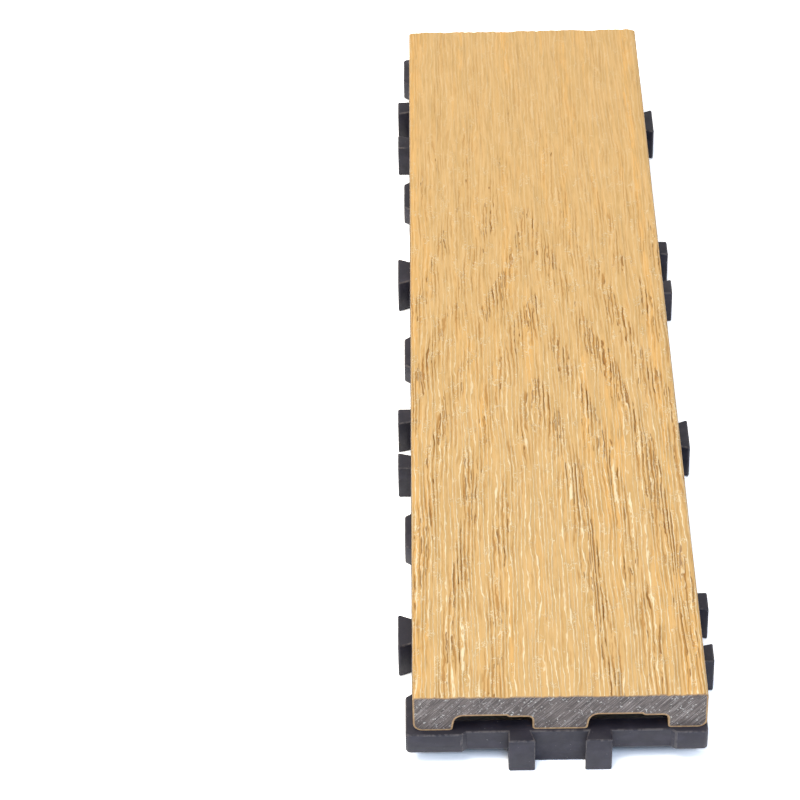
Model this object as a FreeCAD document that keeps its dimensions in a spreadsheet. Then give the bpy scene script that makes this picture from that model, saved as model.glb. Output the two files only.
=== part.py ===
import FreeCAD, Part
import math
import os
import Sketcher

# Strip deck tile: one co-extruded board, screwed from below to a moulded grid base
# whose dovetail tabs and sockets lock it to the tiles around it. Millimetres.
# X runs across the strip, +Y to the end that carries a tab, +Z up. The origin is on
# the ground, at the middle of the tile.

SIZES = [
    ("module_width", 75.0, "pitch of laid tiles across the strip"),
    ("module_length", 300.0, "pitch of laid tiles along the strip"),
    ("cell_count", 4, "braced cells along the grid, one screw in each"),
    ("connector_reach", 3.4, "how far tabs and sockets stand out of the rails"),
    ("joint_clearance", 0.2, "play between two laid tiles"),
    ("base_height", 10.2, "ground to the seat of the board"),
    ("rail_depth", 6.0, "height of the frame's rails"),
    ("side_rail_width", 4.1, ""),
    ("end_rail_width", 4.2, ""),
    ("rail_corner_radius", 1.2, ""),
    ("rib_depth", 4.5, "height of the braces and cross ribs"),
    ("cross_rib_width", 3.0, ""),
    ("arm_width", 2.6, "diagonal brace, across its length"),
    ("arm_drop", 5.9, "how far short of the cell's corner a brace meets the rail"),
    ("window_strip", 3.1, "web left between a rail and the rib windows"),
    ("side_window_radius", 3.0, ""),
    ("rib_window_radius", 2.5, ""),
    ("boss_length", 16.2, "screw boss, along the strip"),
    ("boss_width", 10.5, "screw boss, across the strip"),
    ("boss_wall", 1.0, ""),
    ("boss_floor", 2.6, "web that the screw clamps to the board"),
    ("boss_corner_radius", 2.5, ""),
    ("boss_root_slope", 0.8, "sloped root where the boss leaves the ribs"),
    ("boss_end_margin", 2.7, "web between the boss and the rib window's arch"),
    ("boss_side_margin", 1.4, "web between the boss and the side window"),
    ("tab_neck_width", 5.5, "dovetail tab at the rail's inner face"),
    ("tab_tip_width", 12.2, "dovetail tab at its outer face"),
    ("socket_width", 25.0, "socket block along the rail"),
    ("slot_clearance", 0.8, "play beside the tab's tip, each side"),
    ("slot_hook", 0.95, "how far each lip leans in over the slot"),
    ("connector_edge_radius", 0.5, "outer corners of tabs and socket blocks"),
    ("side_pad_proud", 1.6, "spacer pads on the side rail"),
    ("end_pad_proud", 1.0, "spacer pads on the end rails"),
    ("pad_chamfer", 1.2, "run of a pad's sloped end"),
    ("side_pad_length", 14.0, ""),
    ("corner_pad_length", 14.5, ""),
    ("end_pad_length", 14.8, "end pad at the corner with side pads"),
    ("short_end_pad_length", 9.0, "end pad at the plain corner"),
    ("panel_cell", 3, "cell, counted from the tab end, whose rib window is closed"),
    ("panel_thickness", 1.3, ""),
    ("panel_recess", 2.2, "panel face above the ribs' lower edge"),
    ("panel_lap", 0.6, "how far the panel runs into the ribs around it"),
    ("panel_hole", 7.8, "diameter of the two outer panel holes"),
    ("panel_hole_inset", 5.7, "web between an outer panel hole and the window's side"),
    ("panel_hole_margin", 0.4, "web between an outer panel hole and the cross rib"),
    ("panel_small_hole", 4.6, "diameter of the middle panel hole"),
    ("panel_small_hole_margin", 2.6, "web between the middle hole and the arch"),
    ("board_thickness", 11.2, ""),
    ("board_side_inset", 0.3, "board edge inside the rail's outer face"),
    ("board_end_inset", 0.75, "board end inside the end rail's outer face"),
    ("board_top_radius", 1.2, ""),
    ("board_bottom_radius", 2.3, ""),
    ("land_width", 13.2, "middle land of the board's underside"),
    ("land_radius", 0.8, ""),
    ("side_foot_width", 9.4, "board's outer feet, outside the two channels"),
    ("channel_depth", 4.7, ""),
    ("channel_step", 0.5, "step in the channel's roof"),
    ("channel_step_place", 0.68, "share of the channel's width left of the step"),
    ("channel_flare", 0.7, "lean of the channel's left wall"),
    ("channel_root_radius", 2.4, "roof to left wall"),
    ("channel_toe_radius", 1.2, "roof to right wall"),
    ("screw_shank", 2.9, "thread's outer diameter"),
    ("screw_length", 9.5, "under the head"),
    ("screw_point", 2.6, "length of the pointed end"),
    ("screw_head", 5.6, "pan head diameter"),
    ("screw_head_height", 2.2, ""),
    ("screw_head_bevel", 0.9, "sloped rim of the pan head"),
    ("recess_reach", 2.9, "cross recess from arm tip to arm tip"),
    ("recess_width", 0.8, ""),
    ("recess_depth", 1.3, ""),
    ("screw_hole_clearance", 0.2, "beside the shank in the boss floor"),
    ("pilot_clearance", 0.03, "beside the thread in the board"),
    ("pilot_margin", 0.7, "pilot hole past the screw's point"),
]

# How far a through cut runs past the solid it cuts.
PAST = 1.0


class Measure:
    # A size that carries both its number and the sheet expression behind it.
    def __init__(self, number, text):
        self.number = number
        self.text = text

    @staticmethod
    def of(value):
        if isinstance(value, Measure):
            return value
        return Measure(float(value), repr(float(value)))

    def __add__(self, other):
        other = Measure.of(other)
        return Measure(self.number + other.number, f"({self.text} + {other.text})")

    def __sub__(self, other):
        other = Measure.of(other)
        return Measure(self.number - other.number, f"({self.text} - {other.text})")

    def __mul__(self, other):
        other = Measure.of(other)
        return Measure(self.number * other.number, f"({self.text} * {other.text})")

    def __truediv__(self, other):
        other = Measure.of(other)
        return Measure(self.number / other.number, f"({self.text} / {other.text})")

    def __neg__(self):
        return Measure(-self.number, f"(0 - {self.text})")

    def root(self):
        return Measure(math.sqrt(self.number), f"sqrt({self.text})")


def fill_sheet(doc):
    sheet = doc.addObject("Spreadsheet::Sheet", "Sizes")
    for row, (alias, number, note) in enumerate(SIZES, start=1):
        sheet.set(f"A{row}", alias)
        sheet.set(f"B{row}", str(number))
        sheet.setAlias(f"B{row}", alias)
        sheet.set(f"C{row}", note)
    doc.recompute()
    return {alias: Measure(float(number), f"Sizes.{alias}") for alias, number, _ in SIZES}


def bind(feature, name, measure):
    measure = Measure.of(measure)
    setattr(feature, name, measure.number)
    feature.setExpression(name, measure.text)


def origin_feature(body, role):
    return next(item for item in body.Origin.OriginFeatures if item.Role == role)


def new_body(doc, name):
    body = doc.addObject("PartDesign::Body", name)
    body.Label = name
    body.Placement = FreeCAD.Placement()
    return body


class Drawing:
    # A sketch whose points are all held by constraints that read the sheet.
    def __init__(self, body, name, plane="XY_Plane", height=None):
        self.sketch = body.newObject("Sketcher::SketchObject", name)
        self.sketch.AttachmentSupport = (origin_feature(body, plane), [""])
        self.sketch.MapMode = "FlatFace"
        self.limits = []
        if height is not None:
            lift = FreeCAD.Vector(0, 0, height.number)
            self.sketch.AttachmentOffset = FreeCAD.Placement(lift, FreeCAD.Rotation())
            self.sketch.setExpression("AttachmentOffset.Base.z", height.text)

    def limit(self, kind, *ends, measure=None):
        self.limits.append((kind, ends, measure))

    def done(self):
        # Hands the collected constraints to the sketch in one go.
        constraints = []
        for kind, ends, measure in self.limits:
            values = ends if measure is None else ends + (measure.number,)
            constraints.append(Sketcher.Constraint(kind, *values))
        self.sketch.addConstraint(constraints)
        for index, (_, _, measure) in enumerate(self.limits):
            if measure is not None:
                self.sketch.setExpression(f"Constraints[{index}]", measure.text)
        return self.sketch

    def hold(self, geometry, end, x, y):
        # Holds one point of the sketch at x, y from the sketch's origin.
        for axis, kind, value in ((-2, "DistanceX", Measure.of(x)), (-1, "DistanceY", Measure.of(y))):
            if value.text == "0.0":
                self.limit("PointOnObject", geometry, end, axis)
            elif value.number < 0:
                self.limit(kind, geometry, end, -1, 1, measure=-value)
            else:
                self.limit(kind, -1, 1, geometry, end, measure=value)

    def line(self, start, end, construction=False):
        return self.sketch.addGeometry(Part.LineSegment(start, end), construction)

    def circle(self, x, y, radius):
        centre = FreeCAD.Vector(Measure.of(x).number, Measure.of(y).number, 0)
        shape = Part.Circle(centre, FreeCAD.Vector(0, 0, 1), radius.number)
        geometry = self.sketch.addGeometry(shape, False)
        self.hold(geometry, 3, x, y)
        self.limit("Radius", geometry, measure=radius)

    def outline(self, corners):
        # Closed outline. Each corner is (x, y) or (x, y, radius of its rounding).
        points = [FreeCAD.Vector(Measure.of(c[0]).number, Measure.of(c[1]).number, 0) for c in corners]
        roundings = [round_corner(points, index, corner) for index, corner in enumerate(corners)]
        lines = []
        for index, rounding in enumerate(roundings):
            following = roundings[(index + 1) % len(corners)]
            lines.append(self.line(rounding.leave, following.arrive))
        for index, corner in enumerate(corners):
            before, after = lines[index - 1], lines[index]
            rounding = roundings[index]
            if rounding.arc is None:
                self.limit("Coincident", before, 2, after, 1)
                self.hold(after, 1, corner[0], corner[1])
                continue
            arc = self.sketch.addGeometry(rounding.arc, False)
            tip = self.sketch.addGeometry(Part.Point(points[index]), True)
            self.hold(tip, 1, corner[0], corner[1])
            first, last = (1, 2) if rounding.left_turn else (2, 1)
            self.limit("PointOnObject", tip, 1, before)
            self.limit("PointOnObject", tip, 1, after)
            self.limit("Tangent", before, 2, arc, first)
            self.limit("Tangent", arc, last, after, 1)
            self.limit("Radius", arc, measure=Measure.of(corner[2]))


class Rounding:
    # Where an outline reaches and leaves a corner, and the arc between, if any.
    def __init__(self, arrive, leave, arc=None, left_turn=True):
        self.arrive = arrive
        self.leave = leave
        self.arc = arc
        self.left_turn = left_turn


def round_corner(points, index, corner):
    here = points[index]
    if len(corner) == 2:
        return Rounding(here, here)
    radius = Measure.of(corner[2]).number
    back = (points[index - 1] - here).normalize()
    ahead = (points[(index + 1) % len(points)] - here).normalize()
    half_angle = back.getAngle(ahead) / 2
    reach = radius / math.tan(half_angle)
    centre = here + (back + ahead).normalize() * (radius / math.sin(half_angle))
    arrive, leave = here + back * reach, here + ahead * reach
    left_turn = (-back).cross(ahead).z > 0
    ends = (arrive, leave) if left_turn else (leave, arrive)
    angles = [math.atan2(point.y - centre.y, point.x - centre.x) for point in ends]
    circle = Part.Circle(centre, FreeCAD.Vector(0, 0, 1), radius)
    return Rounding(arrive, leave, Part.ArcOfCircle(circle, angles[0], angles[1]), left_turn)


def box_corners(half_x, half_y, centre_y, radius=None):
    corners = [
        (-half_x, centre_y - half_y),
        (half_x, centre_y - half_y),
        (half_x, centre_y + half_y),
        (-half_x, centre_y + half_y),
    ]
    if radius is None:
        return corners
    return [corner + (radius,) for corner in corners]


def extrude(body, kind, name, drawing, length, up=True):
    # Pads rise from their sketch. Pockets sink, unless up turns them round.
    before = body.Shape.Volume if body.Tip else 0.0
    feature = body.newObject(f"PartDesign::{kind}", name)
    feature.Profile = drawing.done()
    bind(feature, "Length", length)
    feature.Reversed = up if kind == "Pocket" else not up
    body.Document.recompute()
    check_change(name, body, before, adds=(kind == "Pad"))
    return feature


def check_change(name, body, before, adds):
    grown = body.Shape.Volume - before
    if (grown > 1e-3) != adds or abs(grown) <= 1e-3:
        raise RuntimeError(f"{name} changed the volume by {grown:.3f}")


def repeat_along(body, name, originals, pitch, count):
    pattern = body.newObject("PartDesign::LinearPattern", name)
    pattern.Originals = originals
    pattern.Direction = (origin_feature(body, "Y_Axis"), [""])
    pattern.Reversed = True
    pattern.Mode = "Spacing"
    bind(pattern, "Offset", pitch)
    bind_count(pattern, count)
    body.Tip = pattern
    body.Document.recompute()
    return pattern


def bind_count(pattern, count):
    pattern.Occurrences = int(count.number)
    pattern.setExpression("Occurrences", count.text)


def mirror_ends(body, name, originals):
    mirror = body.newObject("PartDesign::Mirrored", name)
    mirror.Originals = originals
    mirror.MirrorPlane = (origin_feature(body, "XZ_Plane"), [""])
    body.Tip = mirror
    body.Document.recompute()
    return mirror


class Layout:
    # Places worked out from the sheet, shared by the pieces that meet there.
    def __init__(self, size):
        gap = size["connector_reach"] + size["joint_clearance"]
        self.rail_x = (size["module_width"] - gap) / 2
        self.rail_y = (size["module_length"] - gap) / 2
        self.inner_x = self.rail_x - size["side_rail_width"]
        self.inner_y = self.rail_y - size["end_rail_width"]
        self.outer_x = self.rail_x + size["connector_reach"]
        self.outer_y = self.rail_y + size["connector_reach"]
        self.rail_bottom = size["base_height"] - size["rail_depth"]
        self.rib_bottom = size["base_height"] - size["rib_depth"]
        self.cell = size["module_length"] / size["cell_count"]
        self.first_cell = size["module_length"] / 2 - self.cell / 2
        self.rib_edge = self.cell / 2 - size["cross_rib_width"] / 2
        self.slope = (self.cell / 2 - size["arm_drop"]) / self.inner_x
        self.steep = (self.slope * self.slope + 1).root()
        self.arm_rise = size["arm_width"] / 2 * self.steep
        self.strip_x = self.inner_x - size["window_strip"]
        arch_top = size["boss_length"] / 2 + size["boss_end_margin"]
        self.arch_top = arch_top
        self.arch_radius = (arch_top - self.arm_rise) / (self.steep - 1)
        bay_tip = size["boss_width"] / 2 + size["boss_side_margin"]
        self.bay_start = self.arm_rise / self.slope
        self.bay_radius = (bay_tip - self.bay_start) / (self.steep / self.slope - 1)
        self.well_depth = size["base_height"] - size["boss_floor"]

    def cell_y(self, index):
        return self.first_cell - self.cell * index


def grid_frame(body, size, place):
    frame = Drawing(body, "frame_outline", height=place.rail_bottom)
    frame.outline(box_corners(place.rail_x, place.rail_y, Measure.of(0), size["rail_corner_radius"]))
    extrude(body, "Pad", "frame_plate", frame, size["rail_depth"])
    bay = Drawing(body, "rib_level_outline", height=place.rail_bottom)
    bay.outline(box_corners(place.inner_x, place.inner_y, Measure.of(0)))
    extrude(body, "Pocket", "rib_level", bay, size["rail_depth"] - size["rib_depth"])


def rib_window_corners(size, place, centre_y, grow=None):
    # Arched triangle between two braces and the cross rib on its -Y side.
    grow = Measure.of(0) if grow is None else grow
    far_x = place.strip_x + grow
    rise = place.arm_rise - grow * place.steep
    base_y = centre_y - place.rib_edge - grow
    shoulder_y = centre_y - (place.slope * far_x + rise)
    radius = size["rib_window_radius"]
    return [
        (-far_x, base_y, radius),
        (far_x, base_y, radius),
        (far_x, shoulder_y, radius),
        (0, centre_y - rise, place.arch_radius),
        (-far_x, shoulder_y, radius),
    ]


def grid_windows(body, size, place):
    seat = size["base_height"]
    sink = size["rib_depth"] + PAST
    centre = place.cell_y(0)

    side = Drawing(body, "side_window_outline", height=seat)
    wing = place.slope * place.inner_x - place.arm_rise
    for sign in (1, -1):
        side.outline([
            (place.bay_start * sign, centre, place.bay_radius),
            (place.inner_x * sign, centre - wing, size["side_window_radius"]),
            (place.inner_x * sign, centre + wing, size["side_window_radius"]),
        ])
    side_cut = extrude(body, "Pocket", "side_windows", side, sink, up=False)
    repeat_along(body, "side_windows_of_cells", [side_cut], place.cell, size["cell_count"])

    rib = Drawing(body, "rib_window_outline", height=seat)
    rib.outline(rib_window_corners(size, place, centre))
    rib_cut = extrude(body, "Pocket", "rib_window", rib, sink, up=False)
    both = body.newObject("PartDesign::MultiTransform", "rib_windows_of_cells")
    body.Tip = both
    march = body.newObject("PartDesign::LinearPattern", "rib_window_march")
    march.Direction = (origin_feature(body, "Y_Axis"), [""])
    march.Reversed = True
    march.Mode = "Spacing"
    bind(march, "Offset", place.cell)
    bind_count(march, size["cell_count"] - 1)
    flip = body.newObject("PartDesign::Mirrored", "rib_window_flip")
    flip.MirrorPlane = (origin_feature(body, "XZ_Plane"), [""])
    both.Originals = [rib_cut]
    both.Transformations = [march, flip]
    body.Tip = both
    body.Document.recompute()

    end = Drawing(body, "end_window_outline", height=seat)
    reach = (place.inner_y - centre - place.arm_rise) / place.slope
    end.outline([
        (reach, place.inner_y),
        (-reach, place.inner_y),
        (0, centre + place.arm_rise, place.arch_radius),
    ])
    end_cut = extrude(body, "Pocket", "end_window", end, sink, up=False)
    mirror_ends(body, "end_windows", [end_cut])


def grid_bosses(body, size, place):
    centre = place.cell_y(0)
    half_x = size["boss_width"] / 2
    half_y = size["boss_length"] / 2
    wall = size["boss_wall"]
    outer = Drawing(body, "boss_outline")
    outer.outline(box_corners(half_x, half_y, centre, size["boss_corner_radius"]))
    boss = extrude(body, "Pad", "boss", outer, size["base_height"])
    inner = Drawing(body, "well_outline")
    inner_radius = size["boss_corner_radius"] - wall / 2
    inner.outline(box_corners(half_x - wall, half_y - wall, centre, inner_radius))
    well = extrude(body, "Pocket", "well", inner, place.well_depth)
    hole_sketch = Drawing(body, "screw_hole_outline")
    hole_sketch.circle(0, centre, size["screw_shank"] / 2 + size["screw_hole_clearance"])
    hole = extrude(body, "Pocket", "screw_hole", hole_sketch, size["base_height"] + PAST)
    repeat_along(body, "bosses", [boss, well, hole], place.cell, size["cell_count"])


def slope_boss_roots(body, size, place):
    # The edges where the four bosses leave the ribs' lower face.
    half_x = size["boss_width"].number / 2
    half_y = size["boss_length"].number / 2
    level = place.rib_bottom.number
    centres = [place.cell_y(i).number for i in range(int(size["cell_count"].number))]
    names = []
    for index, edge in enumerate(body.Shape.Edges, start=1):
        box = edge.BoundBox
        if abs(box.ZMin - level) > 1e-4 or abs(box.ZMax - level) > 1e-4:
            continue
        if max(abs(box.XMin), abs(box.XMax)) > half_x + 1e-4:
            continue
        if any(max(abs(box.YMin - y), abs(box.YMax - y)) < half_y + 1e-4 for y in centres):
            names.append(f"Edge{index}")
    base = body.Tip
    roots = body.newObject("PartDesign::Chamfer", "boss_roots")
    roots.Base = (base, names)
    bind(roots, "Size", size["boss_root_slope"])
    body.Tip = roots
    body.Document.recompute()


def connector_sides(size, place):
    # Each connector's frame: its kind and the map from (along, out) to x and y.
    sides = []
    for index in range(int(size["cell_count"].number)):
        y = place.cell_y(index)
        right, left = ("tab", "socket") if index % 2 == 0 else ("socket", "tab")
        sides.append((right, "side", lambda a, o, y=y: (o, y - a)))
        sides.append((left, "side", lambda a, o, y=y: (-o, y + a)))
    sides.append(("tab", "end", lambda a, o: (a, o)))
    sides.append(("socket", "end", lambda a, o: (-a, -o)))
    return sides


def grid_connectors(body, size, place):
    reach = {
        "side": (place.inner_x, place.rail_x, place.outer_x),
        "end": (place.inner_y, place.rail_y, place.outer_y),
    }
    neck = size["tab_neck_width"] / 2
    tip = size["tab_tip_width"] / 2
    block = size["socket_width"] / 2
    slot_root = tip + size["slot_clearance"]
    slot_mouth = slot_root - size["slot_hook"]
    edge = size["connector_edge_radius"]
    blocks = Drawing(body, "connector_outline")
    slots = Drawing(body, "slot_outline")
    for kind, side, at in connector_sides(size, place):
        inner, rail, outer = reach[side]
        if kind == "tab":
            ends = [at(tip, outer) + (edge,), at(-tip, outer) + (edge,)]
            blocks.outline([at(-neck, inner), at(neck, inner)] + ends)
            continue
        ends = [at(block, outer) + (edge,), at(-block, outer) + (edge,)]
        blocks.outline([at(-block, inner), at(block, inner)] + ends)
        lean = size["slot_hook"] / size["connector_reach"] * PAST
        mouth = slot_mouth - lean
        beyond = outer + PAST
        slots.outline([at(-slot_root, rail), at(slot_root, rail), at(mouth, beyond), at(-mouth, beyond)])
    extrude(body, "Pad", "connectors", blocks, size["base_height"])
    extrude(body, "Pocket", "slots", slots, size["base_height"] + PAST)


def grid_pads(body, size, place):
    # Spacer pads stand out of the -X rail and of both end rails.
    slope = size["pad_chamfer"]
    pads = Drawing(body, "pad_outline", height=place.rail_bottom)
    root_x = -place.rail_x + size["side_rail_width"] / 2
    face_x = -place.rail_x - size["side_pad_proud"]
    half = size["side_pad_length"] / 2
    for index in range(1, int(size["cell_count"].number)):
        y = place.cell_y(index) + place.cell / 2
        pads.outline([
            (root_x, y + half), (-place.rail_x, y + half), (face_x, y + half - slope),
            (face_x, y - half + slope), (-place.rail_x, y - half), (root_x, y - half),
        ])
    root_y = place.rail_y - size["end_rail_width"] / 2
    face_y = place.rail_y + size["end_pad_proud"]
    corner = size["rail_corner_radius"]
    inboard_y = face_y - size["corner_pad_length"]
    inboard_x = face_x + size["end_pad_length"]
    short_x = place.rail_x - size["short_end_pad_length"]
    for sign in (1, -1):
        pads.outline([
            (root_x, root_y * sign), (root_x, inboard_y * sign),
            (-place.rail_x, inboard_y * sign), (face_x, (inboard_y + slope) * sign),
            (face_x, face_y * sign, corner), (inboard_x - slope, face_y * sign),
            (inboard_x, place.rail_y * sign), (inboard_x, root_y * sign),
        ])
        pads.outline([
            (place.rail_x, root_y * sign), (place.rail_x, face_y * sign, corner),
            (short_x + slope, face_y * sign), (short_x, place.rail_y * sign),
            (short_x, root_y * sign),
        ])
    extrude(body, "Pad", "spacer_pads", pads, size["rail_depth"])


def grid_panel(body, size, place):
    # Thin panel that closes one rib window, with three round holes.
    centre = place.cell_y(size["panel_cell"].number - 1)
    level = place.rib_bottom + size["panel_recess"]
    face = Drawing(body, "panel_outline", height=level)
    face.outline(rib_window_corners(size, place, centre, size["panel_lap"]))
    hole = size["panel_hole"] / 2
    hole_x = place.strip_x - size["panel_hole_inset"] - hole
    hole_y = centre - place.rib_edge + hole + size["panel_hole_margin"]
    for sign in (1, -1):
        face.circle(hole_x * sign, hole_y, hole)
    small = size["panel_small_hole"] / 2
    face.circle(0, centre - place.arch_top - size["panel_small_hole_margin"] - small, small)
    extrude(body, "Pad", "panel", face, size["panel_thickness"])


def build_grid_base(doc, size, place):
    body = new_body(doc, "grid_base")
    grid_frame(body, size, place)
    grid_windows(body, size, place)
    grid_connectors(body, size, place)
    grid_pads(body, size, place)
    grid_bosses(body, size, place)
    slope_boss_roots(body, size, place)
    grid_panel(body, size, place)
    return body


def channel_corners(size, left_x, width, seat):
    # One underside channel, walked from its left wall to its right wall.
    roof = seat + size["channel_depth"]
    low_roof = roof - size["channel_step"]
    step_x = left_x + width * size["channel_step_place"]
    right_x = left_x + width
    return [
        (left_x, seat, size["land_radius"]),
        (left_x + size["channel_flare"], roof, size["channel_root_radius"]),
        (step_x, roof),
        (step_x + size["channel_step"], low_roof),
        (right_x, low_roof, size["channel_toe_radius"]),
        (right_x, seat, size["land_radius"]),
    ]


def build_board(doc, size, place):
    body = new_body(doc, "deck_board")
    seat = size["base_height"]
    top = seat + size["board_thickness"]
    edge = place.rail_x - size["board_side_inset"]
    land = size["land_width"] / 2
    profile = Drawing(body, "board_section", plane="XZ_Plane")
    corners = [(edge, seat, size["board_bottom_radius"]), (edge, top, size["board_top_radius"])]
    corners += [(-edge, top, size["board_top_radius"]), (-edge, seat, size["board_bottom_radius"])]
    channel = edge - size["side_foot_width"] - land
    corners += channel_corners(size, -land - channel, channel, seat)
    corners += channel_corners(size, land, channel, seat)
    profile.outline(corners)
    extrusion = body.newObject("PartDesign::Pad", "board_extrusion")
    extrusion.Profile = profile.done()
    extrusion.SideType = "Symmetric"
    bind(extrusion, "Length", (place.rail_y - size["board_end_inset"]) * 2)
    doc.recompute()
    pilots = Drawing(body, "pilot_outline", height=seat)
    pilots.circle(0, place.cell_y(0), size["screw_shank"] / 2 + size["pilot_clearance"])
    depth = size["screw_length"] - size["boss_floor"] + size["pilot_margin"]
    pilot = extrude(body, "Pocket", "pilot", pilots, depth)
    repeat_along(body, "pilots", [pilot], place.cell, size["cell_count"])
    return body


def build_screws(doc, size, place):
    # Pan-head screws with a cross recess, driven up through the boss floors.
    body = new_body(doc, "board_screws")
    body.AllowCompound = True
    seat = place.well_depth
    head = size["screw_head"] / 2
    shank = size["screw_shank"] / 2
    face = seat - size["screw_head_height"]
    tip = seat + size["screw_length"]
    centre = place.cell_y(0)

    section = Drawing(body, "screw_section", plane="YZ_Plane")
    section.outline([
        (centre, face),
        (centre + head - size["screw_head_bevel"], face),
        (centre + head, face + size["screw_head_bevel"]),
        (centre + head, seat),
        (centre + shank, seat),
        (centre + shank, tip - size["screw_point"]),
        (centre, tip),
    ])
    low, high = (FreeCAD.Vector(centre.number, level.number, 0) for level in (face, tip))
    axis = section.line(low, high, construction=True)
    section.hold(axis, 1, centre, face)
    section.hold(axis, 2, centre, tip)
    turned = body.newObject("PartDesign::Revolution", "screw")
    turned.Profile = section.done()
    turned.ReferenceAxis = (section.sketch, ["Axis0"])
    turned.Angle = 360
    doc.recompute()
    cross = Drawing(body, "recess_outline", height=face)
    arm = size["recess_reach"] / 2
    slit = size["recess_width"] / 2
    cross.outline([
        (slit, centre + slit), (slit, centre + arm), (-slit, centre + arm), (-slit, centre + slit),
        (-arm, centre + slit), (-arm, centre - slit), (-slit, centre - slit), (-slit, centre - arm),
        (slit, centre - arm), (slit, centre - slit), (arm, centre - slit), (arm, centre + slit),
    ])
    recess = extrude(body, "Pocket", "recess", cross, size["recess_depth"])
    repeat_along(body, "screws_of_cells", [turned, recess], place.cell, size["cell_count"])
    return body


def check_document(doc, bodies):
    for item in doc.Objects:
        if "Invalid" in item.State or "Error" in item.State:
            raise RuntimeError(f"{item.Name} failed to recompute: {item.State}")
    for body in bodies:
        if body.Shape.isNull() or not body.Shape.isValid():
            raise RuntimeError(f"{body.Label} has no valid shape")


def main():
    doc = FreeCAD.newDocument("deck_tile")
    size = fill_sheet(doc)
    place = Layout(size)
    bodies = [
        build_board(doc, size, place),
        build_grid_base(doc, size, place),
        build_screws(doc, size, place),
    ]
    doc.recompute()
    check_document(doc, bodies)
    os.makedirs("parts", exist_ok=True)
    for body in bodies:
        body.Shape.exportStep(f"parts/{body.Label}.step")
        print(body.Label, len(body.Shape.Solids), round(body.Shape.Volume, 1), body.Shape.BoundBox)


main()
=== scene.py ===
import math

import bmesh
import bpy
from mathutils import Matrix, Vector


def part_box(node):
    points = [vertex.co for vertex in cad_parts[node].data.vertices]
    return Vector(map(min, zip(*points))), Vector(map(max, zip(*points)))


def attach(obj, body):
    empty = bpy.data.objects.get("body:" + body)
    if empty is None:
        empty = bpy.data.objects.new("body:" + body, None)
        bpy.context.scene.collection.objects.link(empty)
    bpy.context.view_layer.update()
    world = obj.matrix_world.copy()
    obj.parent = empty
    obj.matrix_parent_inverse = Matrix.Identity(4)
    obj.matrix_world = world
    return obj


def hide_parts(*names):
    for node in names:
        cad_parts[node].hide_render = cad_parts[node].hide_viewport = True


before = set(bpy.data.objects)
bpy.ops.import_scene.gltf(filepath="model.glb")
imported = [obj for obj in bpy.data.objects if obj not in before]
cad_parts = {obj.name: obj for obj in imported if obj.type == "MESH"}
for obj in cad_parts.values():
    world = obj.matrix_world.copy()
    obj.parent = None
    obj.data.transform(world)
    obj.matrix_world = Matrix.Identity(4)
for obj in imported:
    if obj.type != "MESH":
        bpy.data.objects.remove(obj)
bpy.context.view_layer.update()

# Strip deck tile: an embossed composite board, screwed from below to a moulded grid base.
# Metres, in the frame of the CAD solids.

mm = 0.001
boardLow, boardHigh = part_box("deck_board")
screwLow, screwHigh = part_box("board_screws")
seatHeight = boardLow.z  # the board's underside on the base's top
print("frame loaded:", sorted(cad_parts))


def addNode(tree, kind, inputs=None, **settings):
    # One node with its settings. Inputs are plain values, or sockets to link.
    node = tree.nodes.new(kind)
    for name, value in settings.items():
        setattr(node, name, value)
    for key, value in (inputs or {}).items():
        if isinstance(value, bpy.types.NodeSocket):
            tree.links.new(value, node.inputs[key])
        else:
            node.inputs[key].default_value = value
    return node


def calc(tree, operation, *values):
    return addNode(tree, "ShaderNodeMath", dict(enumerate(values)), operation=operation).outputs[0]


def smooth(tree, value, start, end):
    # 0 at start and 1 at end, eased. End may lie below start.
    sockets = {0: value, 1: start, 2: end, 3: 0.0, 4: 1.0}
    return addNode(tree, "ShaderNodeMapRange", sockets, interpolation_type="SMOOTHSTEP").outputs[0]


def partly(tree, mask, share):
    # 1 where the mask is 1, and less by the share where it is 0.
    return calc(tree, "MULTIPLY_ADD", mask, share, 1 - share)


def axesOf(tree, place):
    return addNode(tree, "ShaderNodeSeparateXYZ", {0: place}).outputs


def scaled(tree, place, sizes, shift=0.0):
    # The place counted in lengths of the given sizes.
    factors = [1 / size for size in sizes]
    sockets = {0: place, 1: factors, 2: (shift, shift, shift)}
    return addNode(tree, "ShaderNodeVectorMath", sockets, operation="MULTIPLY_ADD").outputs[0]


def noise(tree, place, sizes, detail=2.0, roughness=0.5, shift=0.0):
    # Sizes are the pattern's lengths across, along and up. The shift picks another stretch of it.
    sockets = {
        "Vector": scaled(tree, place, sizes, shift),
        "Scale": 1.0,
        "Detail": detail,
        "Roughness": roughness,
    }
    return addNode(tree, "ShaderNodeTexNoise", sockets, noise_dimensions="3D").outputs[0]


def offCentre(tree, place, sizes, detail, shift):
    return calc(tree, "SUBTRACT", noise(tree, place, sizes, detail=detail, shift=shift), 0.5)


def blendColours(tree, factor, first, second):
    node = addNode(tree, "ShaderNodeMix", data_type="RGBA", blend_type="MIX", clamp_factor=True)
    for index, value in ((0, factor), (6, first), (7, second)):
        if isinstance(value, bpy.types.NodeSocket):
            tree.links.new(value, node.inputs[index])
        else:
            node.inputs[index].default_value = value
    return node.outputs[2]


def groupSocket(tree, name, kind, direction, value=None):
    socket = tree.interface.new_socket(name, in_out=direction, socket_type=f"NodeSocket{kind}")
    if value is not None:
        socket.default_value = value
    return socket


def srgb(red, green, blue):
    # A colour as read off a screen, 0 to 255, turned to linear light.
    values = [channel / 255 for channel in (red, green, blue)]
    linear = [v / 12.92 if v <= 0.04045 else ((v + 0.055) / 1.055) ** 2.4 for v in values]
    return (*linear, 1.0)


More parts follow.
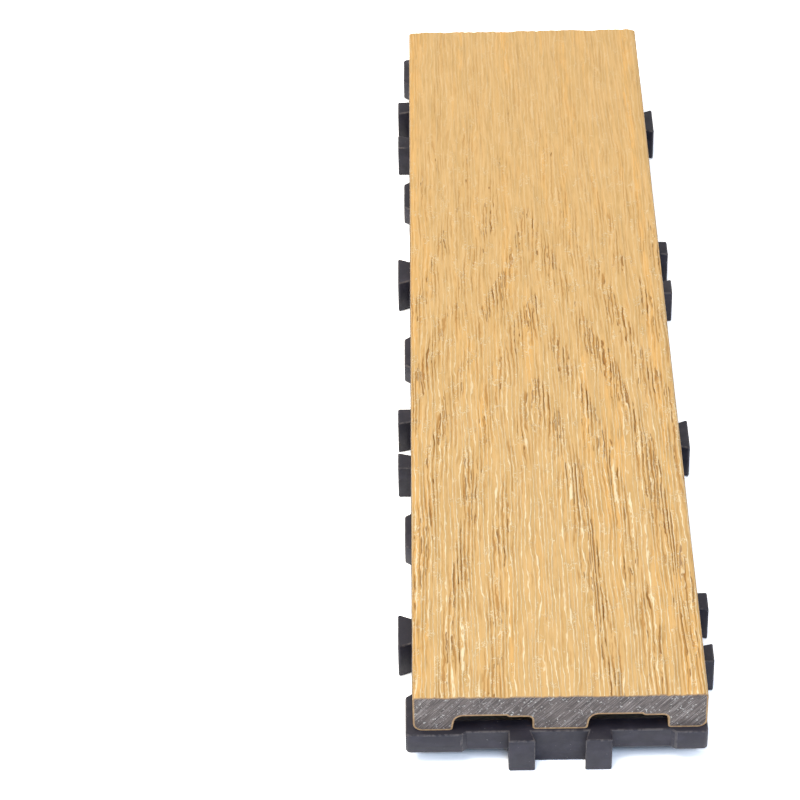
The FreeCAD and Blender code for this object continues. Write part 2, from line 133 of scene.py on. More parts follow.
def startMaterial(name):
    material = bpy.data.materials.new(name)
    material.use_nodes = True
    tree = material.node_tree
    shader = tree.nodes["Principled BSDF"]
    place = addNode(tree, "ShaderNodeTexCoord").outputs["Object"]
    return material, tree, shader, place


def bumpInto(tree, shader, height, distance, strength=1.0):
    sockets = {"Height": height, "Distance": distance, "Strength": strength}
    bump = addNode(tree, "ShaderNodeBump", sockets)
    tree.links.new(bump.outputs[0], shader.inputs["Normal"])


# The wood figure, shared by the board's shape and its colour. Sizes are across and along the board.
# A "Kept" entry is the noise level from which a line is there, how far that level drops where the
# wood is dense, and how softly the line ends.
figure = {
    "midline": -1.5 * mm,  # the arches have their tips here
    "tipRound": 8.0 * mm,
    "limbSlope": 3.3,
    "straightBeyond": 62.0 * mm,  # past this from the middle the limbs run out straight
    "firstTip": 12.0 * mm,
    "ringSpacing": 34.0 * mm,
    "bandStart": (0.0, 0.10),  # in ring spacings, inwards from the band's outer edge
    "bandEnd": (0.95, 0.20),
    "innermost": -45.0 * mm,  # the wood inside the innermost arch is plain
    "innermostSoft": 6.0 * mm,
    "wobble": 20.0 * mm,
    "wobbleSize": (9 * mm, 40 * mm, 1.0),
    "clumpSize": (3.4 * mm, 19 * mm, 1.0),
    "clumpRange": (0.36, 0.58),
    "clumpShare": 0.55,
    "areaSize": (13 * mm, 48 * mm, 1.0),
    "areaRange": (0.36, 0.60),
    "areaShare": 0.40,
    "fadeSpan": (130 * mm, -20 * mm),  # from the smooth far end to where the grain is full
    "fadeShare": 0.70,
    "bend": 3.2 * mm,
    "bendSize": (6.0 * mm, 34 * mm, 1.0),
    "spread": 1.7 * mm,
    "spreadSize": (1.9 * mm, 60 * mm, 1.0),
    "jitter": 0.75 * mm,
    "jitterSize": (0.9 * mm, 4.0 * mm, 1.0),
    "lineSpacing": 1.08 * mm,
    "fibreHighlightSize": (0.9 * mm, 24 * mm, 1.0),
    "fibreHighlightCrest": (0.70, 0.99),
    "fibreHighlightRange": (0.26, 0.54),
    "fibreHighlightSpan": (40 * mm, -90 * mm),
    "fibreHighlightShare": 0.75,
    "grooveSize": (0.9 * mm, 10 * mm, 1.0),
    "grooveHollow": (-0.58, -0.94),
    "grooveKept": (0.48, 0.20, 0.14),
    "grooveDense": 0.65,  # how deep a groove is made by the density, and how deep anywhere
    "grooveAnywhere": 0.35,
    "crackSize": (1.1 * mm, 5 * mm, 1.0),
    "crackSpacing": 1.32 * mm,
    "crackHollow": (-0.76, -0.98),
    "crackKept": (0.81, 0.44, 0.07),
    "burrHighlightTurn": 1.45,  # how far beside its crack a burr and its painted highlight stand, as a turn of the line's wave
    "burrHighlightCrest": (0.82, 1.0),
    "burrHighlightShare": 0.65,
    "curlSize": (0.8 * mm, 1.1 * mm, 1.0),
    "curlWidth": 0.055,
    "curlPatch": (3.0 * mm, 6.0 * mm, 1.0),
    "curlKept": (0.57, 0.10, 0.06),
    "curlShare": 0.8,
    "groundSize": (1.7 * mm, 46 * mm, 1.0),
    "groundHollow": (0.62, 0.36),
    "crackDepth": 0.30,  # shares of the whole emboss
    "grooveDepth": 0.35,
    "groundDepth": 0.25,
    "fibreDepth": 0.25,
}


def ringDensity(tree, place, across, along):
    # Nested arches that point to +Y: each band starts sharply at its outer edge and thins out inwards.
    run = calc(tree, "ARCTANGENT", calc(tree, "DIVIDE", along, figure["straightBeyond"]))
    run = calc(tree, "MULTIPLY", run, figure["straightBeyond"])
    side = calc(tree, "SUBTRACT", across, figure["midline"])
    side = calc(tree, "POWER", calc(tree, "MULTIPLY", side, figure["limbSlope"]), 2.0)
    arch = calc(tree, "SQRT", calc(tree, "ADD", side, figure["tipRound"] ** 2))
    rings = calc(tree, "ADD", run, calc(tree, "SUBTRACT", arch, figure["tipRound"]))
    wobble = offCentre(tree, place, figure["wobbleSize"], 3.0, 0.0)
    rings = calc(tree, "MULTIPLY_ADD", wobble, figure["wobble"], rings)
    inward = calc(tree, "SUBTRACT", figure["firstTip"], rings)
    phase = calc(tree, "FRACT", calc(tree, "DIVIDE", inward, figure["ringSpacing"]))
    starting = smooth(tree, phase, *figure["bandStart"])
    band = calc(tree, "MULTIPLY", starting, smooth(tree, phase, *figure["bandEnd"]))
    soft = figure["innermostSoft"]
    outside = smooth(tree, rings, figure["innermost"] - soft, figure["innermost"] + soft)
    clump = noise(tree, place, figure["clumpSize"], detail=3.0, shift=3.7)
    clump = partly(tree, smooth(tree, clump, *figure["clumpRange"]), figure["clumpShare"])
    area = noise(tree, place, figure["areaSize"], detail=1.0, shift=0.6)
    area = partly(tree, smooth(tree, area, *figure["areaRange"]), figure["areaShare"])
    patchy = calc(tree, "MULTIPLY", clump, area)
    return calc(tree, "MULTIPLY", calc(tree, "MULTIPLY", band, outside), patchy)


def keptStretches(tree, place, density, sizes, kept, shift):
    # Which stretches of a pattern are there: more of them where the wood is dense.
    level, drop, soft = kept
    level = calc(tree, "MULTIPLY_ADD", density, -drop, level)
    stretches = noise(tree, place, sizes, detail=2.0, shift=shift)
    return smooth(tree, stretches, level, calc(tree, "ADD", level, soft))


def woodFigure(tree, place):
    # The dense bands carry the grooves and cracks. Everything is smoother towards the far end.
    axes = axesOf(tree, place)
    across, along = axes[0], axes[1]
    fade = partly(tree, smooth(tree, along, *figure["fadeSpan"]), figure["fadeShare"])
    density = calc(tree, "MULTIPLY", ringDensity(tree, place, across, along), fade)

    # The lines aren't ruled: they bend together, spread apart, and waver each on its own.
    push = 0.0
    for name, detail, shift in (("bend", 2.0, 9.2), ("spread", 1.0, 4.4), ("jitter", 2.0, 1.9)):
        lean = offCentre(tree, place, figure[name + "Size"], detail, shift)
        push = calc(tree, "MULTIPLY_ADD", lean, figure[name], push)
    warped = calc(tree, "ADD", across, push)

    # Fine lines along the board: a raised fibre on each crest, painted pale as a painted highlight, and a
    # groove in each hollow between.
    lines = calc(tree, "SINE", calc(tree, "MULTIPLY", warped, math.tau / figure["lineSpacing"]))
    kept = smooth(tree, noise(tree, place, figure["fibreHighlightSize"], shift=5.9), *figure["fibreHighlightRange"])
    fibresAndHighlights = calc(tree, "MULTIPLY", smooth(tree, lines, *figure["fibreHighlightCrest"]), kept)
    near = partly(tree, smooth(tree, along, *figure["fibreHighlightSpan"]), figure["fibreHighlightShare"])
    fibresAndHighlights = calc(tree, "MULTIPLY", fibresAndHighlights, near)
    kept = keptStretches(tree, place, density, figure["grooveSize"], figure["grooveKept"], 7.7)
    anywhere = calc(tree, "MULTIPLY", fade, figure["grooveAnywhere"])
    deep = calc(tree, "MULTIPLY_ADD", density, figure["grooveDense"], anywhere)
    hollow = smooth(tree, lines, *figure["grooveHollow"])
    grooves = calc(tree, "MULTIPLY", hollow, calc(tree, "MULTIPLY", kept, deep))

    # Wider cracks in the dense bands, each with a raised burr on its lit side, painted pale as a painted
    # highlight.
    turn = calc(tree, "MULTIPLY", warped, math.tau / figure["crackSpacing"])
    kept = keptStretches(tree, place, density, figure["crackSize"], figure["crackKept"], 11.3)
    hollow = smooth(tree, calc(tree, "SINE", turn), *figure["crackHollow"])
    cracks = calc(tree, "MULTIPLY", hollow, kept)
    beside = calc(tree, "SINE", calc(tree, "ADD", turn, figure["burrHighlightTurn"]))
    crest = smooth(tree, beside, *figure["burrHighlightCrest"])
    burrHighlights = calc(tree, "MULTIPLY", crest, calc(tree, "MULTIPLY", kept, figure["burrHighlightShare"]))

    # Small pale curls, torn up in patches.
    curls = calc(tree, "ABSOLUTE", offCentre(tree, place, figure["curlSize"], 1.0, 2.3))
    patch = keptStretches(tree, place, density, figure["curlPatch"], figure["curlKept"], 6.1)
    patch = calc(tree, "MULTIPLY", patch, calc(tree, "MULTIPLY", fade, figure["curlShare"]))
    curls = calc(tree, "MULTIPLY", smooth(tree, curls, figure["curlWidth"], 0.0), patch)

    # Pale fibres with their painted highlight, pale curls, and the burrs' painted highlights, in one mask.
    fibresAndHighlights = calc(tree, "MAXIMUM", fibresAndHighlights, calc(tree, "MAXIMUM", curls, burrHighlights))
    ground = noise(tree, place, figure["groundSize"], detail=4.0, roughness=0.55, shift=8.1)
    return {"Density": density, "FibresAndHighlights": fibresAndHighlights, "Grooves": grooves, "Cracks": cracks, "Ground": ground}


def figureHeight(tree, parts):
    # 1 on the highest fibres, towards 0 in the deepest cracks.
    hollow = smooth(tree, parts["Ground"], *figure["groundHollow"])
    bare = calc(tree, "SUBTRACT", 1.0, parts["FibresAndHighlights"])
    sunk = calc(tree, "MULTIPLY", parts["Cracks"], figure["crackDepth"])
    sunk = calc(tree, "MULTIPLY_ADD", parts["Grooves"], figure["grooveDepth"], sunk)
    sunk = calc(tree, "MULTIPLY_ADD", hollow, figure["groundDepth"], sunk)
    sunk = calc(tree, "MULTIPLY_ADD", bare, figure["fibreDepth"], sunk)
    return calc(tree, "SUBTRACT", 1.0, calc(tree, "MINIMUM", sunk, 1.0))


def figureGroup():
    tree = bpy.data.node_groups.new("woodFigure", "ShaderNodeTree")
    groupSocket(tree, "Place", "Vector", "INPUT")
    for name in ("Density", "FibresAndHighlights", "Grooves", "Cracks", "Ground", "Height"):
        groupSocket(tree, name, "Float", "OUTPUT")
    place = addNode(tree, "NodeGroupInput").outputs[0]
    parts = woodFigure(tree, place)
    parts["Height"] = figureHeight(tree, parts)
    addNode(tree, "NodeGroupOutput", parts)
    return tree


flecks = {
    "size": 0.5 * mm,
    "threshold": 0.72,
    "soft": 0.05,
    "gritScale": 1.6,  # how much finer the grit is than the flecks
}


def fleckGroup():
    # Small irregular pale flecks and a fine even grit, for the sawn core and the moulded plastic.
    tree = bpy.data.node_groups.new("flecks", "ShaderNodeTree")
    groupSocket(tree, "Place", "Vector", "INPUT")
    groupSocket(tree, "Size", "Float", "INPUT", flecks["size"])
    groupSocket(tree, "Threshold", "Float", "INPUT", flecks["threshold"])
    groupSocket(tree, "Flecks", "Float", "OUTPUT")
    groupSocket(tree, "Grit", "Float", "OUTPUT")
    source = addNode(tree, "NodeGroupInput").outputs
    frequency = calc(tree, "DIVIDE", 1.0, source["Size"])
    sockets = {"Vector": source["Place"], "Scale": frequency, "Detail": 1.5}
    specks = addNode(tree, "ShaderNodeTexNoise", sockets).outputs[0]
    end = calc(tree, "ADD", source["Threshold"], flecks["soft"])
    specks = smooth(tree, specks, source["Threshold"], end)
    finer = calc(tree, "MULTIPLY", frequency, flecks["gritScale"])
    sockets = {"Vector": source["Place"], "Scale": finer, "Detail": 3.0}
    grit = addNode(tree, "ShaderNodeTexNoise", sockets).outputs[0]
    addNode(tree, "NodeGroupOutput", {"Flecks": specks, "Grit": grit})
    return tree


def placeFlecks(tree, group, place, size, threshold):
    node = addNode(tree, "ShaderNodeGroup", node_tree=group)
    tree.links.new(place, node.inputs["Place"])
    node.inputs["Size"].default_value = size
    node.inputs["Threshold"].default_value = threshold
    return node.outputs["Flecks"], node.outputs["Grit"]


# The board's coloured cap: colours, then sizes, ranges and shares of what varies them.
cap = {
    "ground": srgb(223, 182, 121),
    "warm": srgb(232, 182, 110),
    "grey": srgb(208, 168, 106),
    "dense": srgb(216, 168, 98),
    # the pale of fibres, curls and burrs; on fibre crests and burrs it is a painted highlight
    "pale": srgb(253, 233, 192),
    "groove": srgb(176, 120, 50),
    "crack": srgb(146, 94, 34),
    "under": srgb(222, 182, 132),  # sides and underside
    "rind": srgb(196, 156, 116),  # the cut edge round the ends
    "grainedFrom": (1.1 * mm, 0.6 * mm),  # below the top, where the grain fades in
    "rindFrom": (0.12 * mm, 0.04 * mm),  # from the ends
    "broadSize": (5 * mm, 80 * mm, 1.0),
    "broadRange": (0.50, 0.68),
    "wander": 4 * mm,  # how far the warm edges stray to the side
    "wanderSize": (30 * mm, 40 * mm, 1.0),
    "warmLeft": (-31.0 * mm, -34.5 * mm),
    "warmLine": 31.0 * mm,
    "warmLineHalf": (1.5 * mm, 0.4 * mm),
    "streakSize": (0.9 * mm, 9 * mm, 1.0),
    "streakRange": (0.42, 0.66),
    "streakShare": 0.85,
    # grey in the ground's hollows: painted shade
    "shadeRange": (0.56, 0.32),
    "shadeShare": 0.45,
    "layers": (  # what the wood figure lays over the ground, how strongly and in which colour
        ("Density", 0.25, "dense"),
        # this layer is pale curls, plus a painted highlight on raised fibres and burrs
        ("FibresAndHighlights", 0.9, "pale"),
        ("Grooves", 0.95, "groove"),
        ("Cracks", 0.8, "crack"),
    ),
    "drawnSize": (0.8 * mm, 120 * mm, 0.8 * mm),  # the fine lines along the sides
    "drawnRange": (0.35, 0.7),
    "drawnBump": 0.2,
    "rindSize": 0.7 * mm,
    "rindRange": (0.36, 0.64),
    "roughness": (0.55, 0.15),  # least, and added where the ground is high
    "gloss": 0.35,
    "bump": 0.38 * mm,
}


def capMaterial(group):
    # The board's thin coloured skin: grained on top, smooth and streaked elsewhere.
    material, tree, shader, place = startMaterial("boardCap")
    wood = addNode(tree, "ShaderNodeGroup", node_tree=group)
    tree.links.new(place, wood.inputs["Place"])
    figured = wood.outputs
    axes = axesOf(tree, place)
    top, end = boardHigh.z, boardHigh.y
    low, high = cap["grainedFrom"]
    onTop = smooth(tree, axes[2], top - low, top - high)
    low, high = cap["rindFrom"]
    onEnd = smooth(tree, calc(tree, "ABSOLUTE", axes[1]), end - low, end - high)

    # Warmer in broad streaks, along the left edge, and in a thin line beside the right one.
    broad = noise(tree, place, cap["broadSize"], detail=3.0, shift=1.3)
    wander = offCentre(tree, place, cap["wanderSize"], 2.0, 5.5)
    wander = calc(tree, "MULTIPLY_ADD", wander, cap["wander"], axes[0])
    atLeft = smooth(tree, wander, *cap["warmLeft"])
    fromLine = calc(tree, "ABSOLUTE", calc(tree, "SUBTRACT", wander, cap["warmLine"]))
    warmth = calc(tree, "MAXIMUM", smooth(tree, broad, *cap["broadRange"]), atLeft)
    warmth = calc(tree, "MAXIMUM", warmth, smooth(tree, fromLine, *cap["warmLineHalf"]))
    colour = blendColours(tree, warmth, cap["ground"], cap["warm"])

    # Greyer in short streaks, a tone of the wood, and greyer in the hollows of the ground as painted shade.
    streaks = noise(tree, place, cap["streakSize"], detail=4.0, roughness=0.6, shift=6.4)
    streaks = smooth(tree, streaks, *cap["streakRange"])
    shade = smooth(tree, figured["Ground"], *cap["shadeRange"])
    for mask, share in ((streaks, cap["streakShare"]), (shade, cap["shadeShare"])):
        colour = blendColours(tree, calc(tree, "MULTIPLY", mask, share), colour, cap["grey"])
    for name, share, tint in cap["layers"]:
        colour = blendColours(tree, calc(tree, "MULTIPLY", figured[name], share), colour, cap[tint])

    drawn = noise(tree, place, cap["drawnSize"], detail=4.0, roughness=0.6, shift=2.2)
    under = blendColours(tree, smooth(tree, drawn, *cap["drawnRange"]), cap["under"], cap["ground"])
    crumbs = noise(tree, place, [cap["rindSize"]] * 3, detail=3.0, shift=7.1)
    rind = blendColours(tree, smooth(tree, crumbs, *cap["rindRange"]), cap["rind"], cap["under"])
    colour = blendColours(tree, onTop, under, colour)
    colour = blendColours(tree, onEnd, colour, rind)
    tree.links.new(colour, shader.inputs["Base Color"])
    least, added = cap["roughness"]
    rough = calc(tree, "MULTIPLY_ADD", figured["Ground"], added, least)
    tree.links.new(rough, shader.inputs["Roughness"])
    shader.inputs["Specular IOR Level"].default_value = cap["gloss"]
    sides = calc(tree, "MULTIPLY", drawn, cap["drawnBump"])
    relief = addNode(tree, "ShaderNodeMix", {0: onTop, 2: sides, 3: figured["Height"]}).outputs[0]
    bumpInto(tree, shader, relief, cap["bump"])
    return material


# The sawn grey core on the board's ends, with slanted saw marks.
core = {
    "ground": srgb(113, 101, 96),
    "scratch": srgb(230, 216, 206),
    "dark": srgb(56, 48, 45),
    "fleck": srgb(232, 226, 216),
    "sawAngle": math.radians(49),
    "scratchSize": (7 * mm, 1.0, 0.13 * mm),  # along, through and across the marks
    "scratchPale": (0.52, 0.64),
    "scratchDark": (0.50, 0.36),
    "paleShare": 0.7,
    "darkShare": 0.9,
    "wideSize": (9 * mm, 1.0, 0.9 * mm),
    "wideRange": (0.36, 0.60),
    "patchSize": 2.8 * mm,
    "patchRange": (0.45, 0.75),
    "patchShare": 0.6,
    "fleckSize": 0.52 * mm,
    "fleckThreshold": 0.65,
    "roughness": (0.5, 0.2),
    "gritShare": 0.3,
    "bump": 0.12 * mm,
    "bumpStrength": 0.6,
}


def coreMaterial(group):
    material, tree, shader, place = startMaterial("boardCore")
    turn = {"Vector": place, "Rotation": (0.0, core["sawAngle"], 0.0)}
    turned = addNode(tree, "ShaderNodeMapping", turn).outputs[0]
    scratch = noise(tree, turned, core["scratchSize"], detail=2.0, roughness=0.6)
    wide = noise(tree, turned, core["wideSize"], detail=3.0, shift=4.0)
    wide = smooth(tree, wide, *core["wideRange"])
    patches = noise(tree, place, [core["patchSize"]] * 3, detail=4.0, shift=7.0)
    patches = smooth(tree, patches, *core["patchRange"])
    specks, grit = placeFlecks(tree, group, place, core["fleckSize"], core["fleckThreshold"])
    pale = calc(tree, "MULTIPLY", smooth(tree, scratch, *core["scratchPale"]), wide)
    layers = (
        (patches, core["patchShare"], "dark"),
        (smooth(tree, scratch, *core["scratchDark"]), core["darkShare"], "dark"),
        (pale, core["paleShare"], "scratch"),
    )
    colour = core["ground"]
    for mask, share, tint in layers:
        colour = blendColours(tree, calc(tree, "MULTIPLY", mask, share), colour, core[tint])
    colour = blendColours(tree, specks, colour, core["fleck"])
    tree.links.new(colour, shader.inputs["Base Color"])
    least, added = core["roughness"]
    tree.links.new(calc(tree, "MULTIPLY_ADD", grit, added, least), shader.inputs["Roughness"])
    relief = calc(tree, "MULTIPLY_ADD", grit, core["gritShare"], scratch)
    bumpInto(tree, shader, relief, core["bump"], core["bumpStrength"])
    return material


# The base's plastic, with a fine grit. The worn one is for the rubbed edges.
moulded = {
    "body": srgb(36, 34, 45),
    "lift": srgb(54, 51, 62),
    "edge": srgb(98, 93, 94),
    "dust": srgb(150, 148, 146),
    "cloudSize": (6 * mm, 6 * mm, 4 * mm),
    "cloudRange": (0.42, 0.72),
    "rubSize": 1.8 * mm,
    "rubRange": (0.36, 0.62),
    "rubShare": 0.8,
    "fleckSize": 0.55 * mm,
    "fleckThreshold": 0.755,
    "dustShare": 0.6,
    "roughness": (0.42, 0.25),
    "gloss": 0.35,
    "rubBump": 0.35,
    "bump": 0.05 * mm,
    "bumpStrength": 0.7,
}


def plasticMaterial(group, name, worn):
    material, tree, shader, place = startMaterial(name)
    specks, grit = placeFlecks(tree, group, place, moulded["fleckSize"], moulded["fleckThreshold"])
    cloud = smooth(tree, noise(tree, place, moulded["cloudSize"], detail=5.0), *moulded["cloudRange"])
    rub = noise(tree, place, [moulded["rubSize"]] * 3, detail=4.0, roughness=0.65, shift=5.0)
    colour = blendColours(tree, cloud, moulded["body"], moulded["lift"])
    if worn:
        wear = calc(tree, "MULTIPLY", smooth(tree, rub, *moulded["rubRange"]), moulded["rubShare"])
        colour = blendColours(tree, wear, colour, moulded["edge"])
    dust = calc(tree, "MULTIPLY", specks, moulded["dustShare"])
    colour = blendColours(tree, dust, colour, moulded["dust"])
    tree.links.new(colour, shader.inputs["Base Color"])
    least, added = moulded["roughness"]
    tree.links.new(calc(tree, "MULTIPLY_ADD", rub, added, least), shader.inputs["Roughness"])
    shader.inputs["Specular IOR Level"].default_value = moulded["gloss"]
    relief = calc(tree, "MULTIPLY_ADD", rub, moulded["rubBump"], grit)
    bumpInto(tree, shader, relief, moulded["bump"], moulded["bumpStrength"])
    return material


steel = {
    "bright": srgb(226, 224, 219),
    "stained": srgb(176, 172, 164),
    "turnedSize": (0.35 * mm, 0.35 * mm, 0.12 * mm),
    "stainSize": 2 * mm,
    "stainRange": (0.4, 0.75),
    "roughness": (0.18, 0.2),
    "bump": 0.03 * mm,
    "bumpStrength": 0.6,
}


def steelMaterial():
    material, tree, shader, place = startMaterial("screwSteel")
    turned = noise(tree, place, steel["turnedSize"], detail=3.0)
    stain = noise(tree, place, [steel["stainSize"]] * 3, detail=3.0, shift=3.0)
    stain = smooth(tree, stain, *steel["stainRange"])
    colour = blendColours(tree, stain, steel["bright"], steel["stained"])
    tree.links.new(colour, shader.inputs["Base Color"])
    shader.inputs["Metallic"].default_value = 1.0
    least, added = steel["roughness"]
    tree.links.new(calc(tree, "MULTIPLY_ADD", turned, added, least), shader.inputs["Roughness"])
    bumpInto(tree, shader, turned, steel["bump"], steel["bumpStrength"])
    return material


figureTree = figureGroup()
fleckTree = fleckGroup()
capSkin = capMaterial(figureTree)
sawnCore = coreMaterial(fleckTree)
plastic = plasticMaterial(fleckTree, "gridPlastic", worn=False)
rubbedPlastic = plasticMaterial(fleckTree, "gridPlasticEdge", worn=True)
screwSteel = steelMaterial()
print("materials made")


mergeDistance = 0.001 * mm  # vertices closer than this are one


def linkObject(name, mesh):
    made = bpy.data.objects.new(name, mesh)
    bpy.context.scene.collection.objects.link(made)
    return made


def meshFrom(made, name, material):
    # Ends a bmesh as a linked object with one material.
    mesh = bpy.data.meshes.new(name)
    mesh.materials.append(material)
    made.to_mesh(mesh)
    made.free()
    return linkObject(name, mesh)


def evaluated(carrier):
    # The carrier's mesh with its modifiers applied. The carrier goes.
    graph = bpy.context.evaluated_depsgraph_get()
    mesh = bpy.data.meshes.new_from_object(carrier.evaluated_get(graph), depsgraph=graph)
    carrier.modifiers.clear()
    bpy.data.objects.remove(carrier)
    return mesh


def newTree(name, inputs):
    # An empty Geometry Nodes tree with a geometry in and out, and the keys of its named sizes.
    tree = bpy.data.node_groups.new(name, "GeometryNodeTree")
    groupSocket(tree, "Geometry", "Geometry", "INPUT")
    keys = {}
    for label, kind in inputs.items():
        keys[label] = groupSocket(tree, label, kind, "INPUT").identifier
    groupSocket(tree, "Geometry", "Geometry", "OUTPUT")
    source = addNode(tree, "NodeGroupInput").outputs
    return tree, source, keys


def bake(name, carrier, tree, keys, values):
    # Runs the tree on the carrier object and keeps the result as a plain mesh.
    modifier = carrier.modifiers.new(tree.name, "NODES")
    modifier.node_group = tree
    for label, value in values.items():
        modifier[keys[label]] = value
    mesh = evaluated(carrier)
    mesh.name = name
    made = linkObject(name, mesh)
    print(name, len(mesh.polygons), "faces", len(mesh.materials), "materials")
    return made


def cutOut(tree, solid, tool, solver):
    sockets = {"Mesh 1": solid, "Mesh 2": tool}
    cut = addNode(tree, "GeometryNodeMeshBoolean", sockets, operation="DIFFERENCE", solver=solver)
    return cut.outputs[0]


def setMaterial(tree, geometry, material, selection=None):
    sockets = {"Geometry": geometry, "Material": material}
    if selection is not None:
        sockets["Selection"] = selection
    return addNode(tree, "GeometryNodeSetMaterial", sockets).outputs[0]


def copiesOn(tree, points, instance, **more):
    # Copies of the instance on the points, as real geometry.
    sockets = {"Points": points, "Instance": instance, **more}
    copies = addNode(tree, "GeometryNodeInstanceOnPoints", sockets)
    return addNode(tree, "GeometryNodeRealizeInstances", {0: copies.outputs[0]}).outputs[0]


def screwSpots(tree, source, height):
    # A point for each screw, in a row along the middle of the tile.
    middle = calc(tree, "DIVIDE", calc(tree, "SUBTRACT", 1.0, source["Count"]), 2.0)
    start = calc(tree, "MULTIPLY", source["Pitch"], middle)
    first = addNode(tree, "ShaderNodeCombineXYZ", {1: start, 2: height})
    step = addNode(tree, "ShaderNodeCombineXYZ", {1: source["Pitch"]})
    sockets = {"Count": source["Count"], "Start Location": first.outputs[0], "Offset": step.outputs[0]}
    return addNode(tree, "GeometryNodeMeshLine", sockets, mode="OFFSET").outputs[0]


def shadeByAngle(mesh, degrees):
    mesh.shade_smooth()
    mesh.set_sharp_from_angle(angle=math.radians(degrees))


def finishPiece(made, replaced):
    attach(made, "root")
    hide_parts(replaced)


# The board's section, embossed top and pilot holes.
board = {
    "topRadius": 1.2 * mm,
    "footRadius": 2.3 * mm,
    "landHalf": 6.6 * mm,  # half of the middle land
    "landRadius": 0.8 * mm,
    "footWidth": 9.4 * mm,  # outer feet, outside the channels
    "channelDepth": 4.7 * mm,
    "channelStep": 0.5 * mm,
    "stepShare": 0.68,
    "flare": 0.7 * mm,
    "rootRadius": 2.4 * mm,
    "toeRadius": 1.2 * mm,
    "wideRadius": 1.5 * mm,  # past this, an arc gets more steps
    "arcSteps": (4, 6),
    "skin": 0.42 * mm,  # the coloured cap, as it shows on the sawn ends
    "column": 0.25 * mm,  # grid of the embossed face
    "row": 1.3 * mm,
    "embossDepth": 0.34 * mm,
    "swell": 0.40 * mm,
    "swellSize": (4.5 * mm, 32 * mm, 1.0),
    "swellRange": (0.62, 0.34),
    "pilotRadius": 1.48 * mm,
    "pilotSpare": 0.7 * mm,  # past the screw's point
    "pilotSides": 32,
    "sharpAbove": 50,
}


def roundedCorner(before, here, after, radius, steps):
    # Points of the arc that rounds one corner of an outline.
    back, ahead = (before - here).normalized(), (after - here).normalized()
    half = back.angle(ahead) / 2
    centre = here + (back + ahead).normalized() * (radius / math.sin(half))
    start = here + back * (radius / math.tan(half))
    end = here + ahead * (radius / math.tan(half))
    turn = (start - centre).angle_signed(end - centre)
    turns = [Matrix.Rotation(-turn * k / steps, 2) for k in range(steps + 1)]
    return [centre + part @ (start - centre) for part in turns]


def channelOutline(left, width):
    # From the left wall's foot to the right wall's foot.
    roof = seatHeight + board["channelDepth"]
    stepX = left + width * board["stepShare"]
    step = board["channelStep"]
    return [
        (left, seatHeight, board["landRadius"]),
        (left + board["flare"], roof, board["rootRadius"]),
        (stepX, roof, 0.0),
        (stepX + step, roof - step, 0.0),
        (left + width, roof - step, board["toeRadius"]),
        (left + width, seatHeight, board["landRadius"]),
    ]


def boardOutline():
    # The section as 2D points, with the top face last and finely divided.
    edge, top = boardHigh.x, boardHigh.z
    width = edge - board["footWidth"] - board["landHalf"]
    corners = [(-edge, top, board["topRadius"]), (-edge, seatHeight, board["footRadius"])]
    corners += channelOutline(-board["landHalf"] - width, width)
    corners += channelOutline(board["landHalf"], width)
    corners += [(edge, seatHeight, board["footRadius"]), (edge, top, board["topRadius"])]
    spots = [Vector(corner[:2]) for corner in corners]
    few, many = board["arcSteps"]
    points = []
    for index, (x, z, radius) in enumerate(corners):
        here = Vector((x, z))
        if radius == 0.0:
            points.append(here)
            continue
        steps = many if radius > board["wideRadius"] else few
        after = spots[(index + 1) % len(spots)]
        points += roundedCorner(spots[index - 1], here, after, radius, steps)
    start, end = points[-1], points[0]
    count = round((start - end).length / board["column"])
    points += [start.lerp(end, k / count) for k in range(1, count)]
    return points


def insetOutline(points, depth):
    # The same outline, moved into the solid.
    moved = []
    for index, here in enumerate(points):
        before, after = points[index - 1], points[(index + 1) % len(points)]
        first = (here - before).normalized()
        second = (after - here).normalized()
        inward = Vector((-first.y - second.y, first.x + second.x)).normalized()
        lean = max(inward.dot(Vector((-first.y, first.x))), 0.5)
        moved.append(here + inward * (depth / lean))
    return moved


def boardCarrier():
    # The plain board in rows. On its ends, the core's faces are marked inside the skin.
    outline = boardOutline()
    inner = insetOutline(outline, board["skin"])
    length = boardHigh.y - boardLow.y
    rows = round(length / board["row"])
    made = bmesh.new()
    coreLayer = made.faces.layers.bool.new("core")
    rings = []
    for row in range(rows + 1):
        y = boardLow.y + length * row / rows
        rings.append([made.verts.new((p.x, y, p.y)) for p in outline])
    for near, far in zip(rings, rings[1:]):
        for index in range(len(outline)):
            made.faces.new((near[index - 1], near[index], far[index], far[index - 1]))
    for ring in (rings[0], rings[-1]):
        y = ring[0].co.y
        inset = [made.verts.new((p.x, y, p.y)) for p in inner]
        for index in range(len(outline)):
            made.faces.new((ring[index - 1], ring[index], inset[index], inset[index - 1]))
        made.faces.new(inset)[coreLayer] = True
    bmesh.ops.recalc_face_normals(made, faces=made.faces)
    return meshFrom(made, "boardCarrier", capSkin)


